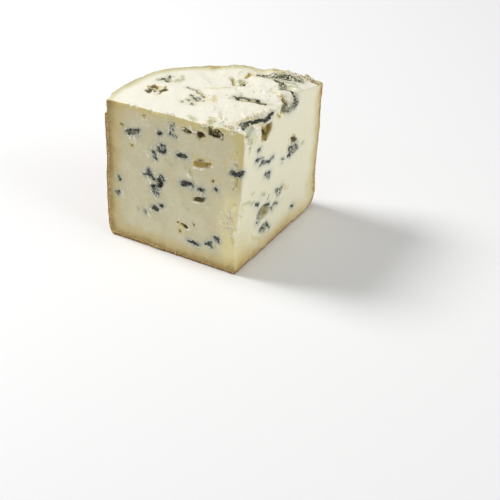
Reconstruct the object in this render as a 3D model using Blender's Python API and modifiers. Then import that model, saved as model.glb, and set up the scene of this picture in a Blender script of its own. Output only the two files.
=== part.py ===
"""A quarter of a blue cheese wheel, standing on its rind.

It is made the way it is cut in a shop. A whole wheel is turned from its outline. One portion is taken
out of it, between two wire cuts that meet at the wheel's axis, and its top is torn. Then the gaps along the
blue veins, which open at the cut faces and at the crumbled edges, are taken out of the portion.

Lengths are in metres, and the tables of gaps are in millimetres. While the block is made, the wheel's axis
is the Z axis, so the block's thin edge is at x = y = 0 and its rind faces +Y.
"""

import math

import bmesh
import bpy
from mathutils import Vector, noise

MM = 0.001
DIAGONAL = math.sqrt(0.5)

# The wheel
WHEEL_RADIUS = 105 * MM
WHEEL_HEIGHT = 125 * MM
RIM_RADIUS = 9 * MM
RIM_STEPS = 5
BASE_RINGS = 8
WALL_STEPS = 15
WHEEL_STEPS = 96
RIND_WAVE = 0.9 * MM
RIND_WAVE_LENGTH = 26 * MM
RIND_BUMP = 0.45 * MM
RIND_BUMP_LENGTH = 9 * MM
# The wheel has slumped: it is narrower at the left cut and wider at the right one. Turns are in degrees round
# the axis, from +X.
LEFT_CUT_TURN = 135
RIGHT_CUT_TURN = 45
SLUMP_SPAN = 40
SLUMP_AT_LEFT = -3.0 * MM
SLUMP_AT_RIGHT = 3.6 * MM
SLUMP_AT_RIGHT_TOP = 2.2 * MM

# The portion
TOP_HEIGHT = 107.3 * MM
LEFT_CORNER_FALL = 1.6 * MM
LEFT_CORNER_FROM = -50 * MM
LEFT_CORNER_TO = -72 * MM
RIGHT_FALL = 10.4 * MM
RIGHT_FALL_FROM = 40 * MM
RIGHT_FALL_TO = 84 * MM
BACK_FALL = 3.4 * MM
BACK_FALL_FROM = 45 * MM
BACK_FALL_TO = 98 * MM
BACK_MIDDLE_FROM = -30 * MM
BACK_MIDDLE_TO = 15 * MM
REACH = 125 * MM
BELOW_FLOOR = 12 * MM
CUT_SPACING = 3.6 * MM
RISE_STEPS = 18
WIRE_WAVE = 0.35 * MM
WIRE_WAVE_LENGTH = 30 * MM
EDGE_CRUMBLE = 0.9 * MM
EDGE_CRUMBLE_LENGTH = 7 * MM
EDGE_CRUMBLE_REACH = 5 * MM

# The block leans to the right. Its thin edge does so all at once, between two heights, and its right corner
# evenly. The lean is whole up to LEAN_NEAR along a cut face and dies out by LEAN_FAR.
THIN_EDGE_LEAN = 5.4 * MM
THIN_EDGE_LEAN_FROM = 30 * MM
THIN_EDGE_LEAN_TO = 76 * MM
RIGHT_CORNER_LEAN = 4.0 * MM
LEAN_NEAR = 5 * MM
LEAN_FAR = 80 * MM
LEFT_LEAN_FAR = 95 * MM

# The torn part of the top, right of a ragged line that runs back from the thin edge
TEAR_MIDDLE = -2 * MM
TEAR_BLEND = 12 * MM
TEAR_TURN = 0.25
TEAR_TURN_AT = 60 * MM
TEAR_RAGGED = 9 * MM
TEAR_RAGGED_LENGTH = 22 * MM
TEAR_RELIEF = 1.5 * MM
TEAR_LENGTH = 17 * MM
CRUMB_RELIEF = 0.7 * MM
CRUMB_LENGTH = 6 * MM

# A gap is an ellipsoid, roughened by a share of its size. A long one gets finer facets.
GAP_ROUGHNESS = 0.3
GAP_ROUGHNESS_SCALE = 1.7
GAP_VARIETY = 5 * MM
LONG_GAP = 9 * MM

# Gaps at the two cut faces: along the face from the thin edge, height, width, height of the gap, depth, tilt.
LEFT_GAPS = (
    (31, 76, 13, 5.5, 5.0, 6),
    (30, 49.5, 9, 4.0, 3.5, 10),
    (40, 26, 7, 3.6, 4.0, -28),
    (21, 102.5, 10, 7.0, 5.0, 8),
    (32.5, 98.5, 7, 4.5, 3.0, 0),
    (41, 98.5, 6, 3.6, 3.0, 0),
    (80, 87, 9, 4.5, 2.0, 12),
    (61, 53, 10, 8.0, 2.0, 40),
)
RIGHT_GAPS = (
    (31, 96.5, 18, 12, 8.0, -25),
    (20.5, 107, 37, 8, 6.0, -6),
    (38.5, 30, 13, 10, 7.0, 15),
    (72, 70.5, 8, 7, 4.5, -30),
    (62, 103, 25, 11, 7.5, -3),
    (38, 17, 10, 4.5, 2.5, -12),
)
# Gaps in the top: x, y, height, length, width, depth, turn.
TOP_GAPS = (
    (18, 82, 104.5, 13, 4.5, 5.0, 80),
    (22.5, 72, 105.5, 9, 6.5, 4.5, 75),
    (32.5, 88, 104.0, 8, 5.0, 4.0, 60),
    (-38, 76, 107.2, 9, 8.0, 2.4, 60),
    (-26, 87, 106.6, 7, 6.0, 2.4, 75),
    (20, 45, 107.0, 26, 4.0, 4.5, -38),
    (51, 80, 103.8, 28, 9.0, 4.5, -8),
    (49, 64, 105.6, 22, 6.0, 4.0, -70),
)

PASTE_COLOUR = (0.82, 0.76, 0.55, 1.0)
PASTE_ROUGHNESS = 0.55
SHARP_ANGLE = math.radians(50)


def clear_scene():
    for old in list(bpy.data.objects):
        bpy.data.objects.remove(old)


def smoothstep(low, high, value):
    share = min(max((value - low) / (high - low), 0.0), 1.0)
    return share * share * (3 - 2 * share)


def wave(place, length, offset=0.0):
    """Smooth noise from about -1 to 1 that changes over the given length."""
    return noise.noise(Vector(place) / length + Vector((offset, 0, 0)))


def wheel_outline():
    """Radius and height along the wheel's outline: across its top, down its wall, and in under its base."""
    rise = (WHEEL_HEIGHT - RIM_RADIUS) / WALL_STEPS
    points = [(0.0, WHEEL_HEIGHT)]
    points += [(WHEEL_RADIUS, WHEEL_HEIGHT - rise * step) for step in range(WALL_STEPS + 1)]
    for step in range(1, RIM_STEPS + 1):
        turn = math.radians(90) * step / RIM_STEPS
        inwards = RIM_RADIUS * (1 - math.cos(turn))
        points.append((WHEEL_RADIUS - inwards, RIM_RADIUS * (1 - math.sin(turn))))
    flat_radius = WHEEL_RADIUS - RIM_RADIUS
    points += [(flat_radius * ring / BASE_RINGS, 0.0) for ring in range(BASE_RINGS - 1, -1, -1)]
    return points


def rind_relief(place):
    """How far the rind stands out from the turned wheel at a place on its wall."""
    turn = math.degrees(math.atan2(place.y, place.x))
    at_left = smoothstep(LEFT_CUT_TURN - SLUMP_SPAN, LEFT_CUT_TURN, turn)
    at_right = smoothstep(RIGHT_CUT_TURN + SLUMP_SPAN, RIGHT_CUT_TURN, turn)
    right_slump = SLUMP_AT_RIGHT + SLUMP_AT_RIGHT_TOP * place.z / TOP_HEIGHT
    slump = SLUMP_AT_LEFT * at_left + right_slump * at_right
    swell = RIND_WAVE * wave(place, RIND_WAVE_LENGTH)
    bump = RIND_BUMP * wave(place, RIND_BUMP_LENGTH, offset=7.0)
    return slump + swell + bump


def make_wheel(cutters):
    """The whole wheel as a closed mesh, with an uneven rind and a flat base."""
    outline = bpy.data.meshes.new("wheel_outline")
    points = wheel_outline()
    edges = [(step, step + 1) for step in range(len(points) - 1)]
    outline.from_pydata([(radius, 0, height) for radius, height in points], edges, [])
    turned = bpy.data.objects.new("turned_wheel", outline)
    cutters.objects.link(turned)
    screw = turned.modifiers.new("turn", "SCREW")
    screw.steps = WHEEL_STEPS
    screw.render_steps = WHEEL_STEPS
    screw.use_merge_vertices = True
    screw.merge_threshold = 0.00001
    mesh = mesh_of(turned)
    bpy.data.objects.remove(turned)
    for vertex in mesh.vertices:
        radius = vertex.co.xy.length
        # The relief fades out round the rim, so that the base stays flat.
        share = smoothstep(WHEEL_RADIUS - RIM_RADIUS, WHEEL_RADIUS, radius)
        if share > 0:
            vertex.co.xy *= (radius + rind_relief(vertex.co) * share) / radius
    wheel = bpy.data.objects.new("wheel", mesh)
    cutters.objects.link(wheel)
    hide_helper(wheel)
    return wheel


def mesh_of(obj):
    """A new mesh of the object with its modifiers carried out."""
    bpy.context.view_layer.update()
    graph = bpy.context.evaluated_depsgraph_get()
    return bpy.data.meshes.new_from_object(obj.evaluated_get(graph))


def hide_helper(obj):
    obj.hide_render = True
    obj.display_type = "WIRE"


def tear_share(x, y):
    """From 0 on the part of the top that the wire cut smoothly to 1 where the cheese tore."""
    ragged = TEAR_RAGGED * wave((x, y, 0), TEAR_RAGGED_LENGTH, offset=3.0)
    past_line = x + TEAR_TURN * (y - TEAR_TURN_AT) + ragged - TEAR_MIDDLE
    return smoothstep(-TEAR_BLEND, TEAR_BLEND, past_line)


def top_height(x, y):
    """Height of the block's top: level on the left, falling to the right corner, uneven where it tore."""
    right_share = smoothstep(RIGHT_FALL_FROM, RIGHT_FALL_TO, x)
    middle_share = smoothstep(BACK_MIDDLE_FROM, BACK_MIDDLE_TO, x) * (1 - right_share)
    fall = RIGHT_FALL * right_share
    fall += BACK_FALL * middle_share * smoothstep(BACK_FALL_FROM, BACK_FALL_TO, y)
    fall += LEFT_CORNER_FALL * smoothstep(LEFT_CORNER_FROM, LEFT_CORNER_TO, x)
    tear = TEAR_RELIEF * wave((x, y, 0), TEAR_LENGTH, offset=11.0)
    tear += CRUMB_RELIEF * wave((x, y, 0), CRUMB_LENGTH, offset=19.0)
    return TOP_HEIGHT - fall + tear * tear_share(x, y)


def sideways_lean(along_left, along_right, height):
    """How far a point of the portion lies to the right of where straight cuts would put it."""
    corner_share = smoothstep(LEAN_NEAR, LEAN_FAR, along_right)
    thin_edge = THIN_EDGE_LEAN * smoothstep(THIN_EDGE_LEAN_FROM, THIN_EDGE_LEAN_TO, height)
    corner = RIGHT_CORNER_LEAN * height / TOP_HEIGHT
    lean = thin_edge * (1 - corner_share) + corner * corner_share
    return lean * smoothstep(LEFT_LEAN_FAR, LEAN_NEAR, along_left)


def portion_point(along_left, along_right, rise):
    """A point of the portion, from its lengths along the two cut faces and its rise, 1 at the torn top."""
    x = (along_right - along_left) * DIAGONAL
    y = (along_right + along_left) * DIAGONAL
    height = -BELOW_FLOOR + rise * (top_height(x, y) + BELOW_FLOOR)
    place = Vector((x, y, height))
    into_right_face = Vector((-DIAGONAL, DIAGONAL, 0))
    into_left_face = Vector((DIAGONAL, DIAGONAL, 0))
    crumble = EDGE_CRUMBLE * abs(wave(place, EDGE_CRUMBLE_LENGTH, offset=29.0))
    crumble *= smoothstep(EDGE_CRUMBLE_REACH, 0, along_left + along_right)
    if along_left == 0:
        place += into_right_face * (WIRE_WAVE * wave(place, WIRE_WAVE_LENGTH, offset=41.0) + crumble)
    if along_right == 0:
        place += into_left_face * (WIRE_WAVE * wave(place, WIRE_WAVE_LENGTH, offset=53.0) + crumble)
    place.x += sideways_lean(along_left, along_right, height)
    return place


def make_portion():
    """The portion as a fine box whose two front walls are the cut faces and whose lid is the torn top."""
    shape = bmesh.new()
    bmesh.ops.create_cube(shape, size=1.0)
    bmesh.ops.translate(shape, verts=shape.verts, vec=(0.5, 0.5, 0.5))
    across = round(REACH / CUT_SPACING)
    for axis, steps in enumerate((across, across, RISE_STEPS)):
        normal = Vector((0, 0, 0))
        normal[axis] = 1.0
        for step in range(1, steps):
            everything = list(shape.verts) + list(shape.edges) + list(shape.faces)
            bmesh.ops.bisect_plane(shape, geom=everything, plane_co=normal * step / steps, plane_no=normal)
    for vertex in shape.verts:
        along_left, along_right, rise = vertex.co
        vertex.co = portion_point(along_left * REACH, along_right * REACH, rise)
    bmesh.ops.recalc_face_normals(shape, faces=shape.faces)
    mesh = bpy.data.meshes.new("blue_cheese")
    shape.to_mesh(mesh)
    shape.free()
    return bpy.data.objects.new("blue_cheese", mesh)


def make_gap(name, place, half_sizes, turns, gaps):
    """An uneven hollow, as a cutter: half_sizes along its own X, Y and Z, turned about those axes."""
    shape = bmesh.new()
    fineness = 3 if max(half_sizes) > LONG_GAP / 2 else 2
    bmesh.ops.create_icosphere(shape, subdivisions=fineness, radius=1.0)
    for vertex in shape.verts:
        roughness = noise.noise(vertex.co * GAP_ROUGHNESS_SCALE + Vector(place) / GAP_VARIETY)
        vertex.co *= 1 + GAP_ROUGHNESS * roughness
        vertex.co *= Vector(half_sizes)
    mesh = bpy.data.meshes.new(name)
    shape.to_mesh(mesh)
    shape.free()
    gap = bpy.data.objects.new(name, mesh)
    gap.location = place
    gap.rotation_euler = turns
    gaps.objects.link(gap)
    hide_helper(gap)
    return gap


def make_face_gaps(side, table, gaps):
    """Gaps that open at a cut face. side is -1 for the left face and 1 for the right face."""
    made = []
    for number, (along, height, width, tall, depth, tilt) in enumerate(table, start=1):
        across = along * MM * DIAGONAL
        along_left, along_right = (along * MM, 0.0) if side < 0 else (0.0, along * MM)
        x = side * across + sideways_lean(along_left, along_right, height * MM)
        half_sizes = (width / 2 * MM, depth * MM, tall / 2 * MM)
        turns = (0, math.radians(tilt) * side, math.radians(45) * side)
        name = f"left_gap_{number}" if side < 0 else f"right_gap_{number}"
        made.append(make_gap(name, (x, across, height * MM), half_sizes, turns, gaps))
    return made


def make_top_gaps(table, gaps):
    """Gaps that open at the top."""
    made = []
    for number, (x, y, height, length, width, depth, turn) in enumerate(table, start=1):
        half_sizes = (length / 2 * MM, width / 2 * MM, depth * MM)
        place = (x * MM, y * MM, height * MM)
        turns = (0, 0, math.radians(turn))
        made.append(make_gap(f"top_gap_{number}", place, half_sizes, turns, gaps))
    return made


def paste_material():
    material = bpy.data.materials.new("blue_cheese_paste")
    material.use_nodes = True
    shader = material.node_tree.nodes["Principled BSDF"]
    shader.inputs["Base Color"].default_value = PASTE_COLOUR
    shader.inputs["Roughness"].default_value = PASTE_ROUGHNESS
    shader.inputs["Metallic"].default_value = 0.0
    return material


def keep_inside(block, wheel):
    cut = block.modifiers.new("wheel", "BOOLEAN")
    cut.operation = "INTERSECT"
    cut.solver = "EXACT"
    cut.object = wheel


def take_out(block, gaps):
    cut = block.modifiers.new("gaps", "BOOLEAN")
    cut.operation = "DIFFERENCE"
    cut.solver = "EXACT"
    cut.operand_type = "COLLECTION"
    cut.collection = gaps


def centre_over_origin(root, block):
    """Moves the wheel's axis so that the middle of the block's base is the origin."""
    mesh = mesh_of(block)
    for axis in (0, 1):
        values = [vertex.co[axis] for vertex in mesh.vertices]
        root.location[axis] = -(min(values) + max(values)) / 2
    bpy.data.meshes.remove(mesh)


def main():
    clear_scene()
    parts = bpy.data.collections.new("blue_cheese")
    cutters = bpy.data.collections.new("cutters")
    gaps = bpy.data.collections.new("gaps")
    bpy.context.scene.collection.children.link(parts)
    bpy.context.scene.collection.children.link(cutters)
    bpy.context.scene.collection.children.link(gaps)
    root = bpy.data.objects.new("wheel_axis", None)
    parts.objects.link(root)
    block = make_portion()
    parts.objects.link(block)
    block.data.materials.append(paste_material())
    wheel = make_wheel(cutters)
    hollows = make_face_gaps(-1, LEFT_GAPS, gaps)
    hollows += make_face_gaps(1, RIGHT_GAPS, gaps)
    hollows += make_top_gaps(TOP_GAPS, gaps)
    keep_inside(block, wheel)
    take_out(block, gaps)
    for piece in [block, wheel, *hollows]:
        piece.parent = root
    block.data.shade_smooth()
    block.data.set_sharp_from_angle(angle=SHARP_ANGLE)
    centre_over_origin(root, block)


main()
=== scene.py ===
"""Looks of the blue cheese: a quarter wheel with a rind, blue mould in its gaps, a torn top and loose crumbs.

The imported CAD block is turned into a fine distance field, carved and roughened there, and meshed again.
"""
import math

import bmesh
import bpy
import numpy as np
import openvdb
from mathutils import Euler, Matrix, Vector, noise
from mathutils.bvhtree import BVHTree


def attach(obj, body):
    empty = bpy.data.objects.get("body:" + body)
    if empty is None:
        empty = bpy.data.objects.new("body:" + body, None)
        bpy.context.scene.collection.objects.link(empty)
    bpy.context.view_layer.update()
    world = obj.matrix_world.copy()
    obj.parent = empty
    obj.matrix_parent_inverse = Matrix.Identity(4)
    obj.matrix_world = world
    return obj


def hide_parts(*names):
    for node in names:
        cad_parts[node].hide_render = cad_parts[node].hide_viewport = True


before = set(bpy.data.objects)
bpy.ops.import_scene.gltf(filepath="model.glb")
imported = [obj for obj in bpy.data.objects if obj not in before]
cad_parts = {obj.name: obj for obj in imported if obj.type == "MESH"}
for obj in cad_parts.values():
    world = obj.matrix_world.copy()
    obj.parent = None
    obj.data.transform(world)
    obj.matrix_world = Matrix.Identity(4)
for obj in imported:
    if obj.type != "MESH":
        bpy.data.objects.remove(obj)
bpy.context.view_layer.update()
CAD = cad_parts["blue_cheese"]
MM = 0.001

# The distance field, in millimetres. Its flat base lies midway between two layers of voxels.
VOXEL = 0.62
BAND_VOXELS = 9
FLOOR_SHIFT = 0.5 * VOXEL

# It is turned by an eighth of a turn: its first axis follows the right cut, its second the left cut.
# This is the sine and the cosine of that angle.
EIGHTH_TURN = math.sqrt(0.5)

# Widths of the blurs that smooth the facets and that find the faces, the hollows and the creases.
FACET_BLUR = 0.5
FACE_BLUR = 2.1
HOLLOW_BLUR = 2.6
CREASE_BLUR = 1.0

# About how many triangles the block is thinned to. The most triangles that the block
# may have.
MOST_TRIANGLES = 190000

# The wheel that the block was cut from, in millimetres from the foot of the thin edge: its axis, where
# its rind starts, how thick the rind's skin is, and how high its top is.
WHEEL_CENTRE = (4.5, 1.0)
RIND_INNER = 95.5
SKIN = 0.6
TOP = 107

# Where the rind's rounded foot and the top's rounded left corner start, and their radii.
FOOT_START = 101.4
FOOT_RADIUS = 3.5
CORNER_START = 100.7
CORNER_HEIGHT = 104.3
CORNER_RADIUS = 3

# The dip in the rear rim: its middle on the top, how far it reaches along x and y, and its depth.
DIP_PLACE = (44, 93)
DIP_REACH = (9, 7)
DIP_DEPTH = 1.7

# Gaps up to twice this wide count as closed where the depth under a cut and under the top is measured.
CUT_REACH = 7.4
TOP_REACH = 5.8

# Rays that find the surface start this far in front of the cuts and this high.
RAY_FRONT = -40
RAY_HEIGHT = 140

# How much wider than its line each kind of mark is painted, in millimetres.
# Marks of one kind melt together over this distance.
MELT = 0.6
SPREAD = {
    "mould": 0.15,
    "grey": 0,
    "spotty": 0.3,
    "crusty": 0.3,
    "dark": 0.3,
    "brown": 0.3,
    "tan": 0.2,
    "crack": 0.2,
    "olive": 0.2,
    "ochre": 0.3,
    "mint": 0.3,
    "pale": 0,
}

# Marks in the cheese, as width, depth and then places along a line, in millimetres. Depths below 0 rise.
# On a cut the places are the distance from the thin edge and the height; on the top they are x and y.
# A gap is only carved, a crack is carved and painted golden as shade in the crevice, and rough marks are
# crumbly.
LEFT_MARKS = {
    "mould": [
        (2.2, 0.9, 85, 86, 82.3, 84.6), (1.2, 0.5, 82.5, 86, 82.3, 88), (1.8, 0.8, 80.3, 85.5, 79, 87.5),
        (2, 0.8, 79, 87.5, 76, 89.3), (1.2, 0.5, 77.5, 87.5, 77.3, 85), (2, 0.7, 60.2, 91.3, 58.8, 91.6),
        (1.2, 0.4, 50.3, 100.8, 49.5, 100.2), (0.9, 0.4, 49.8, 101, 49.6, 97),
        (0.8, 0.3, 51.2, 99, 51.5, 94), (1.2, 0.4, 52.5, 92.6, 50, 92.2, 47, 92),
        (1.6, 0.6, 61, 80.5, 59.5, 78), (1.9, 0.7, 59.5, 77.6, 57, 77.4), (1.6, 0.6, 56.3, 78, 55.6, 80),
        (1, 0.4, 56, 83, 58.5, 83.3), (1, 0.4, 62, 80, 62.3, 78.5), (1.4, 0.5, 64.7, 76, 63.8, 74.5),
        (1.9, 0.6, 63.8, 72, 62.8, 70.8), (3.4, 1.1, 45, 78.3, 41.5, 78.5),
        (1.6, 0.6, 46.5, 79.5, 44, 79.8), (1.4, 0.6, 40.5, 79.8, 39, 79), (2.4, 0.9, 42.5, 57.6, 40.5, 59),
        (2.6, 0.9, 40.5, 59.2, 36.5, 59.8), (1.6, 0.7, 35.8, 59.5, 34.5, 57.8),
        (1.6, 0.5, 41, 57.6, 37, 58), (2, 0.8, 30, 57.6, 26.5, 57.2), (2.8, 0.8, 5, 76.8, 2.5, 77.2),
        (2.6, 0.7, 2.5, 77.3, 0, 77), (1.2, 0.4, 5.8, 75.4, 4, 75), (1.6, 0.3, 0, 76.5, -3, 79),
        (1.6, 0.5, 17.5, 61.3, 16, 61), (1.6, 0.6, 68, 61.3, 66.8, 59.5), (1.9, 0.7, 67, 59.5, 66, 57),
        (1.2, 0.5, 68.5, 58.5, 67.5, 56.5), (1, 0.4, 72, 56.4, 69.5, 57.2),
        (2.2, 0.9, 64.5, 54.8, 61.5, 54.6), (2.4, 0.9, 61.3, 54.3, 60, 52.3),
        (1.6, 0.6, 60, 52, 59.5, 50.5), (1.5, 0.6, 59.5, 56.5, 58.8, 58.2), (1.6, 0.6, 58.5, 58.3, 57, 57),
        (1.8, 0.6, 57, 56.5, 57.3, 55), (1.6, 0.7, 65, 49.6, 63.8, 49), (1.2, 0.5, 63.8, 48.5, 63.5, 46.5),
        (1.4, 0.6, 61.5, 50.5, 60.2, 49.5), (1.9, 0.6, 64, 45, 61, 43.8), (1.6, 0.6, 92.6, 48, 92, 46.2),
        (1.6, 0.4, 93, 37, 92.8, 36), (1.6, 0.4, 95, 35.3, 93.6, 34.3), (3, 0.9, 64.4, 33, 61.8, 32.6),
        (2, 0.6, 58, 36.6, 57.7, 35.8), (0.8, 0.2, 71.3, 28, 71.2, 27), (1.3, 0.4, 37, 15.2, 33, 15.2),
        (2.6, 0.8, 32, 15, 29.5, 14.4), (1.4, 0.5, 22.5, 17.8, 20, 18.6), (1.2, 0.4, 20, 18.6, 18.3, 19.5),
        (1, 0.3, 19, 18, 17.3, 16.8), (1.7, 0.5, 15.5, 25, 13, 25, 12.6, 22.5),
        (1, 0.5, 27, 50.8, 25, 52.3),
    ],
    "grey": [
        (1.2, 0, 80.8, 87.6, 80.6, 85), (2.6, 0, 58, 81, 57.5, 79.8), (1.8, 0, 64.3, 74, 63.8, 72.8),
        (1, 0, 43, 78.8, 41.5, 78.4), (1.4, 0, 67, 61, 66.5, 59.8), (1.2, 0, 58.3, 56.5, 58, 56),
        (2.8, 0, 62.5, 48.2, 61.5, 47.3), (1.2, 0, 63, 45.3, 62, 44.8), (1, 0, 38.5, 57.2, 35.8, 57.6),
        (1.4, 0, 94.6, 36, 93.6, 35.4), (2, 0, 14.8, 23.6, 14.2, 22.6), (1, 0, 50.6, 98.5, 50.6, 94),
    ],
    "dark": [
        (1.5, 0.5, 22, 105, 22, 101.5), (1.8, 0.6, 21.5, 101, 19.5, 99.8), (1.6, 0.5, 19, 99.5, 16.5, 99.3),
        (2.6, 0.6, 19, 103, 15, 104.5), (1.6, 0.4, 14, 103, 13, 100.5), (1.6, 0.4, 41.5, 98.5, 39, 97.8),
        (1.4, 0.3, 40.5, 99.8, 38, 99.3), (1.8, 0.5, 31, 97.8, 29, 98.3),
        (1.4, 0.4, 30.5, 96.8, 29.5, 96.6), (0.9, 0.3, 40.5, 26, 38, 24.8), (2.2, 0.4, 32, 49, 29, 49.6),
        (0.8, 0.3, 30.5, 79.2, 27.5, 79.9),
    ],
    "brown": [
        (1.2, 0.2, 43, 99.5, 37, 98.5), (1.2, 0.2, 35, 99.5, 34, 98.5), (1.2, 0.3, 72, 101, 71, 100.5),
        (1, 0.2, 82, 77, 81.5, 76), (1, 0.2, 89.5, 90, 89, 89.5), (1, 0.3, 19.5, 67, 19.5, 66),
        (3.2, 0.2, 30, 99, 26.5, 98.5), (1, 0.2, 33, 30.5, 32.2, 29.3), (1.2, 0.2, 44.5, 27, 42, 26.5),
        (1, 0.2, 43.8, 21.6, 43.2, 20.6),
    ],
    "olive": [
        (1.5, 0.3, 55.5, 72, 54.5, 71.5), (1.2, 0.2, 52, 70, 51, 69.5), (1.3, 0.3, 37, 40.5, 36.5, 39),
        (1.2, 0.3, 41.5, 44, 40.5, 42.5), (1.5, 0.4, 40.5, 71.5, 39.5, 69),
        (1.2, 0.3, 37.5, 70.5, 36.5, 68.5), (2.2, 0.2, 27, 104.5, 23, 105), (1.4, 0.3, 5.5, 48.5, 5, 47.5),
        (1.6, 0.1, 77, 29, 76.5, 27),
    ],
    "tan": [
        (1.6, 0.2, 83, 78, 80, 76), (1.4, 0.2, 74, 102, 70, 100), (1.2, 0.2, 68.5, 100.5, 67, 98.5),
        (1.2, 0.2, 16, 69, 15, 66), (1.4, 0.2, 3, 30, 1, 24), (1.2, 0.2, 44, 24, 42, 20),
        (1, 0.2, 90, 91, 87, 88), (1.6, 0.1, 11, 84, 9, 76), (1.6, 0, 34, 81, 20, 82),
        (3, 0.1, 24, 103.5, 13, 106), (2, 0.1, 37, 72, 36, 66),
    ],
    "crack": [
        (4.2, 0, 33, 74.9, 25.5, 77), (3.6, 0, 33.2, 76.3, 26, 78), (2, 0, 26, 77.8, 21.5, 78.4),
        (2, 0, 42.2, 26.6, 38, 25.2),
    ],
    "gap": [(3, 0, 31.8, 48.8, 29, 49.4)],
    "pale": [
        (1.2, -0.3, 79, 83.5, 78.5, 81), (1, -0.3, 82.5, 83, 83, 81.5), (1.1, -0.3, 62, 80, 60, 76),
        (1, -0.3, 39, 66.5, 38, 64.5), (1.1, -0.3, 37, 66, 36.5, 64), (1.1, -0.3, 69.5, 73, 68.5, 71.5),
        (1.3, -0.4, 71.5, 58, 70.5, 58.5), (0.9, -0.3, 71, 52, 69.5, 49.5), (0.9, -0.3, 68.5, 54, 66.5, 51),
        (0.9, -0.3, 66.5, 45.5, 65, 44), (1, -0.3, 63.5, 42, 62, 40.5),
        (1.4, -0.4, 34.5, 72.2, 29, 72.6, 24, 74.5), (1, -0.3, 23, 75.4, 19.5, 77.2),
        (1, -0.4, 34, 46.8, 27, 47), (1.1, -0.3, 45.5, 25.5, 44, 26), (1.1, -0.4, 39, 23.6, 35.5, 24.5),
        (0.9, -0.3, 34.5, 29, 33.5, 31), (1.2, -0.4, 17, 101.5, 14, 100.5), (1, -0.3, 15, 103, 13, 101),
        (1, -0.2, 53.5, 97, 53, 94), (0.9, -0.3, 36.5, 104, 35.5, 100), (0.9, -0.3, 67, 31.5, 65.5, 30.5),
        (0.9, -0.2, 68.5, 26, 67, 24.5), (0.8, -0.3, 48.5, 93.5, 47.5, 91.5), (1, -0.2, 8.5, 43.5, 6, 41.5),
        (1.2, -0.2, 4, 38, 3, 36.5), (1, -0.2, 11, 38, 9.5, 37.5), (1.1, -0.2, 3.2, 50, 2, 47),
        (0.8, -0.2, 2.5, 33, 1.5, 29), (0.9, -0.2, 47.5, 79.5, 46, 80.5), (1.5, -0.5, 29, 106.6, 27, 105.9),
        (1.3, -0.4, 24.5, 106.2, 23.5, 106.8), (1.4, -0.5, 12, 105.9, 9.5, 105.4),
        (1.2, -0.4, 7, 105.3, 4.5, 105.9), (1, -0.3, 19, 106.4, 17.5, 106), (1, -0.3, 44, 106.8, 43, 106.4),
    ],
    "spotty": [(2.6, 0, 50.5, 99, 50, 93), (1.8, 0, 65, 46, 62, 43)],
    "rough": [
        (12, 0.22, 3, 53, 2, 36), (9, 0.16, 11, 44, 8, 37), (6, 0.16, 2, 34, 1, 24),
        (9, 0.14, 65, 58, 62, 46), (8, 0.12, 81, 87, 77, 80), (9, 0.12, 60, 83, 62, 74),
        (7, 0.12, 41, 30, 34, 28), (8, 0.2, 26, 103, 40, 99), (7, 0.1, 38, 66, 37, 63),
        (6, 0.1, 68, 33, 66, 26), (7, 0.08, 74, 101, 68, 97), (7, 0.7, 34, 107.5, 4, 107.5),
        (4, 0.4, 80, 108, 40, 108), (4.4, 0.8, 66, 106.6, 55, 106.6), (3.6, 0.7, 84, 106.4, 77, 106.4),
    ],
}
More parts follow.
